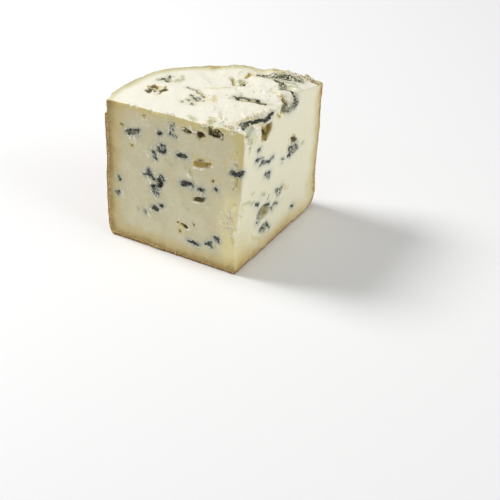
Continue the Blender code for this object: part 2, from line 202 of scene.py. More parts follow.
RIGHT_MARKS = {
    "mould": [
        (2.2, 0.7, 22.3, 87.6, 24.6, 87), (2, 0.6, 19.6, 81, 21.8, 80.2),
        (1.4, 0.5, 21.8, 80.2, 24.5, 79.5), (1.6, 0.5, 25.6, 74.4, 28, 75), (2, 0.7, 28, 75.7, 31, 74.3),
        (2.1, 0.7, 31, 73.6, 35, 72.3), (1.9, 0.7, 35, 72, 38.5, 70.8), (1.3, 0.5, 39.8, 71.5, 44, 71.7),
        (1.5, 0.4, 33.8, 63.2, 37, 61.8, 39.5, 61.7), (1, 0.3, 39.8, 60.5, 40, 56.8),
        (1, 0.2, 56.8, 63.3, 60.3, 61.8), (2.2, 0.8, 68, 66.3, 70, 64.5), (1.9, 0.8, 70, 64.5, 69.3, 61.5),
        (1.9, 0.8, 66.8, 60.8, 69, 59.5), (1.7, 0.6, 70, 66.3, 73.5, 65),
        (1.7, 0.6, 76, 65.3, 78.5, 63, 80, 61.3), (1.5, 0.5, 74, 60.7, 77, 60.6),
        (1.1, 0.4, 71.8, 62.8, 73.3, 61.6), (1.6, 0.5, 75.6, 16.2, 78, 14.8), (2.2, 0.6, 25, 44, 28, 41.6),
        (2.6, 0.5, 33.5, 34.6, 37.5, 35, 42.5, 34), (1.2, 0.4, 30.5, 34, 31.2, 31, 32, 28),
        (1, 0.3, 28.2, 27, 29, 26), (1.6, 0.5, 55, 38.6, 59.5, 39.6), (1, 0.4, 52, 41, 54, 39.6),
        (1.2, 0.4, 54, 36.2, 57, 35.6), (1.5, 0.5, 46.8, 29.6, 48.5, 28), (1.8, 0.6, 50.5, 30, 54.5, 29.2),
        (2.4, 0.7, 33, 18.5, 37, 19.4), (2.6, 0.8, 36.3, 17.2, 39, 16), (1.4, 0.5, 40, 20.3, 41.8, 18),
        (0.9, 0.3, 42.8, 16.4, 45.6, 14.2), (1.6, 0.4, 59, 101.5, 61, 100), (2, 0.4, 61.5, 99, 65, 97.6),
        (2, 0.4, 67, 97.4, 71, 96.6), (2, 0.4, 72, 97.2, 74.6, 99.5), (1.4, 0.3, 74.6, 99.5, 75.2, 101.2),
    ],
    "grey": [
        (3, 0, 36.8, 60.3, 38.4, 58.5), (1.2, 0, 26.5, 78.8, 30, 78.5), (2.6, 0, 73.3, 63.6, 76, 62.6),
        (1.2, 0, 41.5, 39, 43.3, 41.5), (1, 0, 57, 59.8, 59, 59.3), (2, 0, 28.5, 33, 28.8, 30),
        (2, 0, 35, 21, 37, 21.5), (1.6, 0, 76, 97.5, 77, 99),
    ],
    "dark": [
        (2.8, 0.2, 35.8, 94.8, 36.6, 93.2), (1.6, 0, 27.4, 99, 30, 98), (1.4, 0.2, 36, 95.5, 35, 97),
        (2.2, 0.5, 71.5, 73, 74, 71), (2, 0.5, 74, 70, 77, 68.6),
    ],
    "brown": [
        (2.6, 0.4, 71.5, 73.5, 76.5, 69.3), (1, 0.2, 57, 105.5, 60, 104), (0.9, 0.1, 78, 62.5, 80, 66),
        (0.9, 0.1, 47.5, 103, 51, 99.5),
    ],
    "olive": [
        (3, 0, 33, 99, 35, 96), (2.2, 0.2, 31.5, 48.4, 37, 46), (1.2, 0.2, 17, 56, 20, 55.4),
        (1.2, 0.2, 17, 48, 19.5, 45.6), (5.5, 0, 35.5, 30.5, 41.5, 28.5), (3.2, 0, 8.5, 105, 8, 101),
        (2.6, 0, 13, 100, 10, 96), (1, 0.1, 11, 95, 9.5, 91), (2.2, 0.1, 86, 62.3, 88, 62),
        (1, 0.1, 5, 54, 15, 50), (1, 0.1, 14, 51, 22, 46), (1.2, 0.2, 66, 67.5, 67.5, 66),
    ],
    "ochre": [
        (4, 0, 27.5, 101, 31, 100), (5.4, 0, 38, 97, 39.8, 95.6), (4, 0, 31, 99.5, 36, 96.5),
        (4.4, 0, 35, 93, 34.5, 90.5),
    ],
    "gap": [
        (3.4, 0, 34.6, 93, 34, 91), (2.6, 0, 41.2, 96.4, 39.6, 94.4), (2.2, 0, 38.8, 93.2, 36.4, 92),
        (3.4, 0, 27, 101.4, 27.6, 98.4), (4.6, 0, 30.6, 100.6, 31.4, 97.5),
    ],
    "tan": [
        (2.4, 0, 17.8, 100.5, 16.8, 96), (1.4, 0.2, 65.5, 70, 67, 74, 70, 75), (1, 0.1, 61, 42, 65, 38),
        (1, 0.1, 62, 38, 68, 35), (1, 0.1, 21, 20, 26, 15.5), (1, 0.1, 24, 17.5, 32, 12),
        (1, 0.1, 4, 52, 8, 47), (1, 0.1, 46, 103, 52, 99),
    ],
    "pale": [
        (1.6, -0.4, 13, 104, 19, 100), (1.4, -0.4, 5, 98.5, 12, 97), (1, -0.3, 42.5, 26, 36, 25.5),
        (1.2, -0.3, 2, 99.5, 6, 98), (1, -0.3, 55, 105, 50, 106), (0.8, -0.3, 75, 65.5, 74, 64.5),
    ],
    "spotty": [
        (4, 0, 53.5, 40, 57, 37.5), (2, 0, 71, 63, 74, 62), (3.2, 0, 61, 99.8, 65, 98.6),
        (3.4, 0, 66, 98.6, 71, 98), (2.6, 0, 72, 98.5, 75, 99.5),
    ],
    "rough": [
        (9, 0.12, 6, 102, 16, 96), (6, 0.08, 40, 18, 30, 12), (8, 0.2, 3, 50, 3, 32),
        (5, 0.15, 1.5, 28, 1.5, 20), (6, 0.08, 73, 72, 72, 62), (5, 0.08, 47, 101, 50, 97),
        (5, 0.5, 30, 96, 34, 90), (4, 0.5, 42, 98, 43, 94), (3, 0.4, 31, 32, 33, 26),
        (4, 0.5, 69, 74, 77, 73),
    ],
}
TOP_MARKS = {
    "mould": [
        (1.2, 0.3, -32.3, 87.6, -28.5, 89.6), (3.2, 0.6, -27.3, 87, -26, 85.2),
        (1.2, 0.3, -24.2, 92.3, -24.2, 90.3), (1.2, 0.4, -16, 61.5, -15, 60.5),
        (1.3, 0.5, -10.5, 68, -9.6, 64), (2, 0.6, -14.5, 57, -13.5, 53.5), (1.1, 0.3, -24, 54.5, -24, 53.5),
        (1.2, 0.3, -19.5, 56.5, -19.5, 55), (1.1, 0.3, -18, 50, -18, 49), (0.7, 0.2, -15.5, 74, -14.5, 72),
        (0.7, 0.2, -13, 71, -12.5, 69), (1.3, 0.4, 11.8, 54, 13.8, 52), (1.4, 0.4, 13.8, 52, 18, 51),
        (1.2, 0.4, 18, 51, 20, 47.5, 24.5, 45), (2.6, 0.5, 25.5, 44, 26.5, 40),
        (1.2, 0.3, 27, 39.5, 30, 37.5), (1.1, 0.5, 37.5, 86, 36.3, 83.5, 37.5, 82),
        (1, 0.4, 38.5, 86.3, 40, 85.3, 39.8, 83.6), (2.8, 0.8, 42, 85.5, 47.5, 84.8),
        (3.8, 0.4, 53, 82, 59, 80.8), (3.4, 0.4, 53, 78.5, 58.5, 78), (2.8, 0.5, 52, 75, 57, 74.5),
        (2.2, 0.5, 60.5, 77.5, 64.5, 76.5), (1.4, 0.6, 46.5, 73, 48.5, 69), (1.8, 0.6, 48.5, 69, 46.5, 62),
        (1.8, 0.6, 46.2, 61, 46.2, 57.7), (1.3, 0.5, 50, 68, 49.5, 62),
        (1.6, 0.4, 46.2, 57.7, 48.2, 56.2, 50.2, 54), (1.2, 0.3, 50.2, 54, 52, 52, 53, 51),
        (3.6, 0.9, 6.3, 14.2, 9.8, 13.8), (3.2, 0.9, 7.2, 11.5, 8.5, 11), (2, 0.7, 6.8, 9, 6.5, 7.2),
        (2.8, 0.8, 11.5, 16, 13.5, 18.2, 18, 19.8), (2.2, 0.7, 19, 21, 24, 21.3),
        (3.2, 0.8, 25.5, 21.8, 28.5, 23.5), (2.4, 0.6, 29, 24.3, 31.5, 26.8),
        (0.9, 0.3, 74.5, 71.5, 74, 70),
    ],
    "grey": [
        (2.6, 0, -11.5, 58, -11, 55.5), (1.4, 0, 38, 84.7, 38.5, 84), (1.2, 0, 27, 43, 27, 41),
        (1.8, 0, 20, 19.6, 25.5, 20), (1, 0, 16.5, 50.5, 20, 49.5), (2.4, 0, 49, 78, 48.5, 76),
    ],
    "dark": [
        (3.4, 0.6, -40.5, 77, -38.5, 74), (1.8, 0.4, -43.5, 73.5, -42.5, 71.5),
        (2.2, 0.5, -34, 72, -31, 73), (2, 0.6, 23.3, 75.4, 24.5, 75), (1.8, 0.3, 44.6, 43, 45.8, 45.5),
        (2.4, 0.6, 57, 80, 64, 77.5),
    ],
    "brown": [
        (1.1, 0.3, -41, 80, -37, 80, -35.5, 77.5), (1, 0.3, -35, 69.5, -36, 69),
        (1, 0.3, -30.5, 74.5, -30, 76.5), (1, 0.3, -8.4, 64, -8, 60), (1.1, 0.3, -8, 59, -7.6, 56.5),
        (1, 0.3, -11.5, 53, -10, 51.5), (1.6, 0.3, 56, 88, 58.5, 87), (2.2, 0.2, 64.8, 82, 65.8, 79.5),
        (1.3, 0.2, 71, 83, 74, 80), (1.4, 0.2, 74, 79, 77, 76), (1, 0.2, 62, 90, 67, 87),
    ],
    "olive": [
        (1.4, 0.3, -32.5, 89, -30, 88), (2, 0.3, -23, 84.5, -19, 86),
        (1.3, 0.2, -19, 84, -16, 86, -15.6, 92), (4.5, 0.2, 22.5, 80.5, 24.5, 77),
        (3, 0.2, 23, 76.5, 24.5, 76), (3.4, 0.1, 53, 68, 58, 66), (2.4, 0.1, 53, 62, 57, 60),
        (2, 0.2, -11, 28, -11, 24, -12.5, 20.5), (1, 0.3, -24, 34.5, -22, 30),
        (1.4, 0.3, -22, 30, -20.5, 27), (1.6, 0.2, -9.5, 67.5, -8.5, 64),
        (1.6, 0.2, -16.5, 56.5, -15.5, 54), (1.4, 0.4, 17.2, 77, 17.6, 85), (1, 0.1, 24, 44, 20, 46.5),
        (3, 0, 66, 80, 60, 75),
    ],
    "ochre": [(2.6, 0, 44.3, 48.5, 44.6, 44)],
    "mint": [
        (4.5, 0, 9.5, 9.5, 12.5, 10.9), (4, 0, 8, 6.5, 11.5, 7), (3, 0, 20, 80, 20.5, 84),
        (2.4, 0, -9.5, 18, -7, 15),
    ],
    "tan": [
        (0.9, 0.2, -3, 71.5, 2, 69.5, 8, 68.7), (1.4, 0.2, 9.5, 68.5, 11.5, 68),
        (2.4, 0.2, 0, 56.5, -1.5, 51.5), (0.8, 0.2, -7, 52.5, -2, 50.5), (1, 0.3, -39, 68.5, -38, 67.5),
        (1.4, 0.2, -34, 77.5, -32.5, 74.5), (2.2, 0.1, 4.8, 17.5, 11, 19), (1.6, 0.1, 12, 21.5, 19.5, 23.3),
        (1.2, 0.2, -9, 28, -8, 24), (1.4, 0.2, 34.5, 91.5, 34.8, 89), (1, 0.2, 36, 84.5, 35, 82),
        (1.6, 0.2, 36, 31, 38.5, 33.5), (3, 0.2, 55.5, 88.5, 57.5, 87), (1, 0.2, 37.8, 55, 40.5, 52),
        (2.4, 0.1, -14, 24, -9, 20), (2, 0.1, -5, 13, -1, 9),
    ],
    "crack": [
        (1.2, 0, 28, 84, 30, 87), (1.4, 0, 30.5, 87, 32, 91.5), (2.8, 0, 42.2, 43.6, 42.8, 39),
        (1.2, 0, 40.5, 46.8, 43, 46.3),
    ],
    "pale": [
        (1, -0.4, -39.5, 75.5, -39, 77.5), (1, -0.4, -36, 74.5, -36.5, 72), (1.2, -0.4, -24, 83, -23, 82),
        (1.2, -0.4, 41, 87.5, 44, 87.5), (1.2, -0.5, 50, 81, 51, 78), (1.2, -0.5, 45, 68, 46, 64),
        (3.6, 0, 17, 15, 16, 11.5), (2.6, 0, 20, 15, 20.2, 14.5), (1.3, -0.4, 60, 90, 63, 88.5),
        (4, 0, 46.5, 50.3, 49.3, 51.2), (3.6, 0, 46.5, 48, 49, 49.8), (2, 0, 47, 46.6, 48.5, 47.2),
        (1.8, -0.9, 17.5, 25.5, 19, 26.5),
    ],
    "spotty": [
        (3.6, 0, 42, 85.5, 47.5, 84.8), (4.4, 0, 49, 83, 51, 79), (4, 0, 47, 75, 50, 75),
        (4, 0, 48, 71, 46.5, 60), (2, 0, -39.5, 76.5, -38.5, 74), (3.4, 0, 6.3, 14, 8.5, 11),
        (3, 0, 53, 82, 59, 79), (3, 0, 50, 68, 50, 62), (3.6, 0, 59, 79, 65, 76.5),
    ],
    "crusty": [
        (4.5, 0.1, 58.5, 86.5, 62.5, 84.5), (4.5, 0.1, 62, 87, 67, 84.5), (4, 0.1, 67, 84, 72, 81.5),
        (3, 0.1, 72, 81, 76, 78),
    ],
    "rough": [
        (12, 0.4, -12, 22, -2, 10), (6, 0.7, 0, 4.5, 5, 6), (8, 0.2, 0, 18, 20, 27),
        (7, 0.2, 28, 30, 34, 36), (8, 0.35, 43, 82, 62, 80), (5, 0.6, 54, 80, 65, 77),
        (7, 0.35, 48, 72, 46, 58), (8, 0.5, 60, 88, 72, 83), (4, 0.2, 24, 84, 32, 89),
        (4, 0.3, -13, 61, -12, 53), (4, 0.3, -38, 76, -34, 72), (6, 0.2, 44, 52, 50, 50),
        (3, 0.15, 2, 70, 11, 68),
    ],
}

# Capsules that partly fill the block's gaps: a radius, then x, y and z of both ends.
FILLS = [
    (3.6, 48, 51.5, 103, 51, 54, 103),
    (3.2, 46, 49, 102.5, 49, 51, 101.5),
    (2.6, 46, 46.8, 99.8, 48.8, 48.6, 99.3),
    (2, 15.6, 76.5, 102.4, 16, 84, 102.4),
    (2.3, 26.6, 26.2, 101.4, 30.4, 30, 101.4),
]


def read_mesh(mesh):
    """A mesh's places and its triangles."""
    mesh.calc_loop_triangles()
    places = np.empty(len(mesh.vertices) * 3)
    mesh.vertices.foreach_get("co", places)
    triangles = np.empty(len(mesh.loop_triangles) * 3, dtype=np.int32)
    mesh.loop_triangles.foreach_get("vertices", triangles)
    return places.reshape(-1, 3), triangles.reshape(-1, 3)


def add_object(name, data):
    """A new object in the scene."""
    piece = bpy.data.objects.new(name, data)
    bpy.context.scene.collection.objects.link(piece)
    return piece


def load_block():
    """The CAD block's corners in the field's axes, its triangles, and the foot of its thin edge."""
    corners, triangles = read_mesh(CAD.data)
    corners = corners / MM
    base = corners[corners[:, 2] < 0.2]
    foot = base[base[:, 1].argmin()] * (1, 1, 0)
    return to_field(corners - foot), triangles, foot


def to_field(places):
    """Places measured from the thin edge's foot, turned so that the cuts follow the first two axes."""
    x, y, z = places[:, 0], places[:, 1], places[:, 2]
    return np.stack([(x + y) * EIGHTH_TURN, (y - x) * EIGHTH_TURN, z + FLOOR_SHIFT], axis=1)


def from_field(places):
    """The opposite of to_field."""
    p, q, z = places[:, 0], places[:, 1], places[:, 2]
    return np.stack([(p - q) * EIGHTH_TURN, (p + q) * EIGHTH_TURN, z - FLOOR_SHIFT], axis=1)


def smooth(low, high, value):
    """0 at low, 1 at high, and an even curve between."""
    t = np.clip((value - low) / (high - low), 0, 1)
    return t * t * (3 - 2 * t)


def blur(values, width):
    """Gaussian blur of a dense field, width in millimetres."""
    sigma = width / VOXEL
    reach = int(math.ceil(2.6 * sigma))
    weights = np.exp(-0.5 * (np.arange(-reach, reach + 1) / sigma) ** 2)
    weights /= weights.sum()
    for axis in range(3):
        size = values.shape[axis]
        padding = [(0, 0)] * 3
        padding[axis] = (reach, reach)
        padded = np.pad(values, padding, mode="edge")
        total = np.zeros_like(values)
        for step, weight in enumerate(weights):
            window = [slice(None)] * 3
            window[axis] = slice(step, step + size)
            total += np.float32(weight) * padded[tuple(window)]
        values = total
    return values


class Grid:
    """A dense box of voxels, with random fields in it."""

    def __init__(self, low, shape):
        self.low = np.array(low)
        self.shape = shape
        self.axes = [(self.low[a] + np.arange(shape[a])) * VOXEL for a in range(3)]

    def random(self, cell, seed, stretch=(1, 1, 1)):
        """Smooth random values with a spread of 1 whose bumps are about cell millimetres across."""
        sums = []
        sizes = []
        for axis in range(3):
            places = (self.axes[axis] - self.axes[axis][0]) / (cell * stretch[axis])
            first = np.floor(places).astype(int)
            f = places - first
            weights = np.zeros((len(places), first[-1] + 4), dtype=np.float32)
            rows = np.arange(len(places))
            weights[rows, first] = (1 - f) ** 3 / 6
            weights[rows, first + 1] = (3 * f ** 3 - 6 * f ** 2 + 4) / 6
            weights[rows, first + 2] = (-3 * f ** 3 + 3 * f ** 2 + 3 * f + 1) / 6
            weights[rows, first + 3] = f ** 3 / 6
            sums.append(weights)
            sizes.append(weights.shape[1])
        values = np.random.default_rng(seed).standard_normal(sizes).astype(np.float32)
        values = np.tensordot(sums[0], values, axes=(1, 0))
        values = np.tensordot(values, sums[1], axes=(1, 1))
        values = np.tensordot(values, sums[2], axes=(1, 1))
        return values / np.float32(0.33)

    def window(self, low, high):
        """Slices of the voxels between two corners, and their places."""
        cuts = []
        for axis in range(3):
            start = int(math.floor(low[axis] / VOXEL)) - self.low[axis]
            stop = int(math.ceil(high[axis] / VOXEL)) - self.low[axis] + 1
            cuts.append(slice(max(start, 0), min(stop, self.shape[axis])))
        p, q, z = (self.axes[a][cuts[a]] for a in range(3))
        places = np.stack(np.meshgrid(p, q, z, indexing="ij"), axis=-1)
        return tuple(cuts), places

    def sample(self, values, places):
        """Values of a dense field at places, blended from the eight voxels around each."""
        t = places / VOXEL - self.low
        first = np.clip(np.floor(t).astype(int), 0, np.array(self.shape) - 2)
        f = (t - first).astype(np.float32)
        total = np.zeros(len(places), dtype=np.float32)
        for corner in range(8):
            step = np.array([corner & 1, corner >> 1 & 1, corner >> 2 & 1])
            weight = np.prod(np.where(step, f, 1 - f), axis=1)
            at = first + step
            total += weight * values[at[:, 0], at[:, 1], at[:, 2]]
        return total


def segment_distance(places, start, end):
    """Distance of places from a straight line between two points."""
    along = end - start
    length = max(float(along @ along), 1e-6)
    t = np.clip(((places - start) @ along) / length, 0, 1)
    return np.linalg.norm(places - start - t[..., None] * along, axis=-1)


# The start and the direction of a ray that meets each face at its own two measures.
RAYS = {
    "left": lambda a, b: ((RAY_FRONT, a, b + FLOOR_SHIFT), (1, 0, 0)),
    "right": lambda a, b: ((a, RAY_FRONT, b + FLOOR_SHIFT), (0, 1, 0)),
    "top": lambda a, b: (((a + b) * EIGHTH_TURN, (b - a) * EIGHTH_TURN, RAY_HEIGHT), (0, 0, -1)),
}


def to_quads(values):
    """The surface where a dense field is 0, as places and quads."""
    carved = openvdb.FloatGrid(VOXEL * BAND_VOXELS)
    carved.transform = openvdb.createLinearTransform(VOXEL)
    carved.gridClass = openvdb.GridClass.LEVEL_SET
    carved.copyFromArray(values, ijk=low)
    return carved.convertToQuads(0.0)


def cast_marks():
    """Every mark as kind, width, depth, and the ends of one straight piece of it on the surface."""
    places, quads = to_quads(solid)
    ground = BVHTree.FromPolygons(places.tolist(), quads.tolist())
    found = []
    for face, table in {"left": LEFT_MARKS, "right": RIGHT_MARKS, "top": TOP_MARKS}.items():
        for kind, marks in table.items():
            for width, depth, *line in marks:
                hits = []
                for a, b in zip(line[::2], line[1::2]):
                    start, way = RAYS[face](a, b)
                    hit = ground.ray_cast(Vector(start), Vector(way))[0]
                    if hit is not None:
                        hits.append(np.array(hit))
                for start, end in zip(hits, hits[1:]):
                    found.append((kind, width, depth, start, end))
    return found


def spread(values, reach, largest):
    """The largest or smallest value within reach cells of each cell of a flat map."""
    pick = np.maximum if largest else np.minimum
    edge = -np.inf if largest else np.inf
    for axis in range(2):
        padding = [(0, 0), (0, 0)]
        padding[axis] = (reach, reach)
        padded = np.pad(values, padding, constant_values=edge)
        size = values.shape[axis]
        parts = [np.take(padded, np.arange(step, step + size), axis=axis) for step in range(2 * reach + 1)]
        values = pick.reduce(parts)
    return values


def depth_below(values, places, axis, reach):
    """Depth of places along an axis, under a surface whose gaps up to twice reach wide are closed."""
    cells = round(reach / VOXEL)
    inside = values < 0
    first = np.maximum(inside.argmax(axis=axis), 1)
    empty = ~inside.any(axis=axis)
    at = np.take_along_axis(values, np.expand_dims(first, axis), axis).squeeze(axis)
    before = np.take_along_axis(values, np.expand_dims(first - 1, axis), axis).squeeze(axis)
    crossing = first - at / np.minimum(at - before, -1e-6)
    crossing = spread(np.where(empty, np.inf, crossing), cells, False)
    crossing = spread(np.where(empty, -np.inf, crossing), cells, True)
    index = np.rint(places / VOXEL - grid.low).astype(int)
    index = np.clip(index, 0, np.array(grid.shape) - 1)
    rows, columns = np.delete(index, axis, axis=1).T
    return (places[:, axis] / VOXEL - grid.low[axis] - crossing[rows, columns]) * VOXEL


def simplify(places, quads):
    """A lighter copy of the surface as places and triangles, thinned where it is plain and has no marks."""
    mesh = bpy.data.meshes.new("dense")
    mesh.from_pydata(places.tolist(), [], quads[:, ::-1].tolist())
    dense = add_object("dense", mesh)
    plain = np.rint(2 * (1 - grid.sample(marked, places))) / 2
    group = dense.vertex_groups.new(name="plain")
    for weight in (0, 0.5, 1):
        group.add(np.nonzero(plain == weight)[0].tolist(), weight, "REPLACE")
    thinner = dense.modifiers.new("thinner", "DECIMATE")
    thinner.ratio = MOST_TRIANGLES / (2 * len(quads))
    thinner.vertex_group = group.name
    thin = read_mesh(dense.evaluated_get(bpy.context.evaluated_depsgraph_get()).to_mesh())
    bpy.data.objects.remove(dense)
    bpy.data.meshes.remove(mesh)
    return thin


def without_specks(places, sides):
    """The largest connected part of a surface, without the specks that float beside or inside it."""
    label = np.arange(len(places))
    changed = True
    while changed:
        joined = label.copy()
        lowest = label[sides].min(axis=1)
        for corner in range(3):
            np.minimum.at(joined, sides[:, corner], lowest)
        joined = joined[joined]
        changed = (joined != label).any()
        label = joined
    largest = np.bincount(label).argmax()
    sides = sides[label[sides[:, 0]] == largest]
    used, packed = np.unique(sides, return_inverse=True)
    return places[used], packed.reshape(-1, 3)


corners, triangles, foot = load_block()

# The dense distance field: below 0 inside the cheese, in millimetres.
level_set = openvdb.FloatGrid.createLevelSetFromPolygons(
    corners.astype(np.float32),
    triangles=triangles.astype(np.uint32),
    transform=openvdb.createLinearTransform(VOXEL),
    halfWidth=BAND_VOXELS,
)
low, high = level_set.evalActiveVoxelBoundingBox()
grid = Grid(low, tuple(int(h) - int(l) + 1 for l, h in zip(low, high)))
solid = np.empty(grid.shape, dtype=np.float32)
level_set.copyToArray(solid, ijk=low)
solid = blur(solid, FACET_BLUR)

P, Q, Z = np.meshgrid(*[a.astype(np.float32) for a in grid.axes], indexing="ij", sparse=True)
X = (P - Q) * EIGHTH_TURN
Y = (P + Q) * EIGHTH_TURN
away = np.hypot(X - WHEEL_CENTRE[0], Y - WHEEL_CENTRE[1])
outward_p = (X - WHEEL_CENTRE[0] + Y - WHEEL_CENTRE[1]) * EIGHTH_TURN / away
outward_q = (Y - WHEEL_CENTRE[1] - X + WHEEL_CENTRE[0]) * EIGHTH_TURN / away

# Random fields that several surfaces share.
broad = grid.random(16, 1)
wide = grid.random(8, 2)
middle = grid.random(4.6, 3)
small = grid.random(2.7, 4)
fine = grid.random(1.7, 5)
ragged = 0.55 * small + 0.35 * fine

for radius, *ends in FILLS:
    start, end = to_field(np.array(ends).reshape(2, 3))
    cuts, places = grid.window(np.minimum(start, end) - radius - 2, np.maximum(start, end) + radius + 2)
    fill = segment_distance(places, start, end) - radius + 0.3 * ragged[cuts]
    solid[cuts] = np.minimum(solid[cuts], fill)

# Which way each part of the surface faces.
slope = np.gradient(blur(solid, FACE_BLUR))
steep = np.sqrt(slope[0] ** 2 + slope[1] ** 2 + slope[2] ** 2) + 1e-6
facing = [part / steep for part in slope]
on_left = smooth(0.55, 0.85, -facing[0])
on_right = smooth(0.55, 0.85, -facing[1])
on_top = smooth(0.5, 0.8, facing[2])
on_wall = smooth(0.35, 0.75, facing[0] + facing[1])
on_shell = smooth(0.2, 0.6, facing[0] * outward_p + facing[1] * outward_q) * smooth(95, 99, away)

# The torn part of the top starts along a ragged line, and its front tip is crumbly.
torn = smooth(-7, 7, X - 0.25 * (Y - 60) + 2 + 6 * broad)
torn = np.maximum(torn, smooth(30, 12, Y + 0.6 * np.abs(X) + 3 * wide))
torn_top = torn * on_top
calm = smooth(105, 99, away)

# Curd lumps with creases between them on the torn top, and a slight unevenness on the rest.
rough_line = 0.3 * middle + 0.16 * small + 0.06 * fine
plates = smooth(-0.12, 0.12, grid.random(15, 9) + rough_line)
plates = plates + 0.6 * smooth(-0.15, 0.15, grid.random(8.5, 10) + rough_line)
crumble = 0.2 * np.abs(middle) + 0.12 * np.abs(small) + 0.07 * fine - 0.25
splits = smooth(0.11, 0.02, np.abs(grid.random(12, 11) + 0.25 * middle + 0.1 * small))
splits *= smooth(0.7, 1.3, grid.random(8, 12))
solid -= torn_top * (calm * 0.7 * (plates - 0.8) + 0.35 * crumble - 0.25 * splits * calm)
solid -= (on_top - torn_top) * (0.1 * middle + 0.05 * small)
solid -= (on_left + on_right) * (0.06 * wide + 0.05 * middle + 0.04 * small + 0.03 * fine)

# Rind: rounded bumps, pits and cracks.
wall_lumps = 0.16 * wide + 0.3 * middle + 0.26 * np.abs(small) + 0.14 * fine
pits = smooth(1.1, 2.0, grid.random(3.4, 6))
cracks = smooth(0.16, 0.02, np.abs(grid.random(9, 7, stretch=(1, 1, 0.6)) + 0.1 * fine))
crack_area = smooth(0.1, 1.2, grid.random(14, 8))
solid -= on_shell * 0.75
under_foot = np.maximum(FOOT_RADIUS + FLOOR_SHIFT - Z, 0)
rounding = np.hypot(np.maximum(away - FOOT_START, 0), under_foot) - FOOT_RADIUS
rounding = np.maximum(rounding + 5 * smooth(12, 30, Q), 0.7 - Q)
foot_zone = (Z < 14) & (away > 90)
solid = np.where(foot_zone, np.minimum(solid, rounding), solid)
from_edge = 0.2 + 0.8 * smooth(1, 9, np.minimum(np.minimum(P, Q), TOP - Z))
solid -= on_wall * from_edge * (wall_lumps - 0.15 - 0.7 * pits - 0.55 * cracks * crack_area)

# The cut edge of the rind is coarse.
crust = np.maximum(smooth(3.2, 1.6, Z - FLOOR_SHIFT), smooth(99.5, 101.5, away)) * (on_left + on_right)
solid -= crust * (0.06 * small + 0.12 * fine)

# The left corner of the top is rounded.
above = np.maximum(Z - CORNER_HEIGHT - FLOOR_SHIFT, 0)
tip = np.hypot(np.maximum(away - CORNER_START, 0), above) - CORNER_RADIUS
tip = tip - 4 * smooth(3, 14, P)
corner_zone = (P < 14) & (Q > 85) & (Z > 95)
solid = np.where(corner_zone, np.maximum(solid, tip), solid)

# The rear rim dips.
dip = np.exp(-((X - DIP_PLACE[0]) / DIP_REACH[0]) ** 2 - ((Y - DIP_PLACE[1]) / DIP_REACH[1]) ** 2)
solid += DIP_DEPTH * (dip * smooth(88, 98, Z))

# Marks carve or raise the surface around their lines.
marks = cast_marks()
marked = np.zeros_like(solid)
for kind, width, depth, start, end in marks:
    half = width / 2
    reach = half + (2.5 if kind == "rough" else 1.6)
    cuts, places = grid.window(np.minimum(start, end) - reach, np.maximum(start, end) + reach)
    far = segment_distance(places, start, end)
    if kind in SPREAD:
        marked[cuts] = np.maximum(marked[cuts], smooth(1.6, 0.8, far - half))
    near = smooth(half + 0.9, max(half - 0.9, 0), far + 0.35 * ragged[cuts])
    if kind in ("gap", "crack"):
        solid[cuts] = np.maximum(solid[cuts], half - far - 0.15 * ragged[cuts])
    elif kind == "rough":
        near = smooth(half, width / 6, far)
        relief = 0.9 * np.abs(small[cuts]) + 0.8 * fine[cuts] + 0.5 * np.abs(middle[cuts]) - 0.8
        solid[cuts] -= depth * near * relief
    elif kind == "pale":
        solid[cuts] += depth * near
    else:
        solid[cuts] += depth * near * (1 + 0.35 * fine[cuts])

# The base stays flat.
solid = np.maximum(solid, FLOOR_SHIFT - Z)
hollow_field = blur(solid, HOLLOW_BLUR)
crease_field = blur(solid, CREASE_BLUR)

surface, faces = without_specks(*simplify(*to_quads(solid)))
surface[np.abs(surface[:, 2] - FLOOR_SHIFT) < 0.02, 2] = FLOOR_SHIFT

# Paint: what each point of the surface is made of, and how creased and closed in it lies, which sets its
# painted shade.
warp = [0.3 * grid.sample(grid.random(2.6, 20 + axis), surface) for axis in range(3)]
warped = surface + np.stack(warp, axis=1)
sums = {kind: np.full(len(surface), math.exp(-12 / MELT)) for kind in SPREAD}
scuff = np.zeros(len(surface))
for kind, width, depth, start, end in marks:
    far = segment_distance(warped, start, end) - width / 2
    if kind == "rough":
        scuff = np.maximum(scuff, smooth(1, -2, far))
    elif kind in SPREAD:
        sums[kind] += np.exp((SPREAD[kind] - far) / MELT)
near_marks = {kind: -MELT * np.log(total) for kind, total in sums.items()}

# Depth under the rind's skin, from the CAD triangles that are rind.
edge_one = corners[triangles[:, 1]] - corners[triangles[:, 0]]
edge_two = corners[triangles[:, 2]] - corners[triangles[:, 0]]
normals = np.cross(edge_one, edge_two)
normals /= np.linalg.norm(normals, axis=1, keepdims=True) + 1e-9
centres = from_field(corners[triangles].mean(axis=1))
from_axis = np.hypot(centres[:, 0] - WHEEL_CENTRE[0], centres[:, 1] - WHEEL_CENTRE[1])
is_rind = (from_axis > RIND_INNER) & ((normals[:, 0] + normals[:, 1] > 0.3) | (normals[:, 2] < -0.3))
is_rind |= centres[:, 2] < 0.5
rind_tree = BVHTree.FromPolygons([Vector(c) for c in corners], triangles[is_rind].tolist())
rind = np.array([rind_tree.find_nearest(place)[3] for place in surface.tolist()])

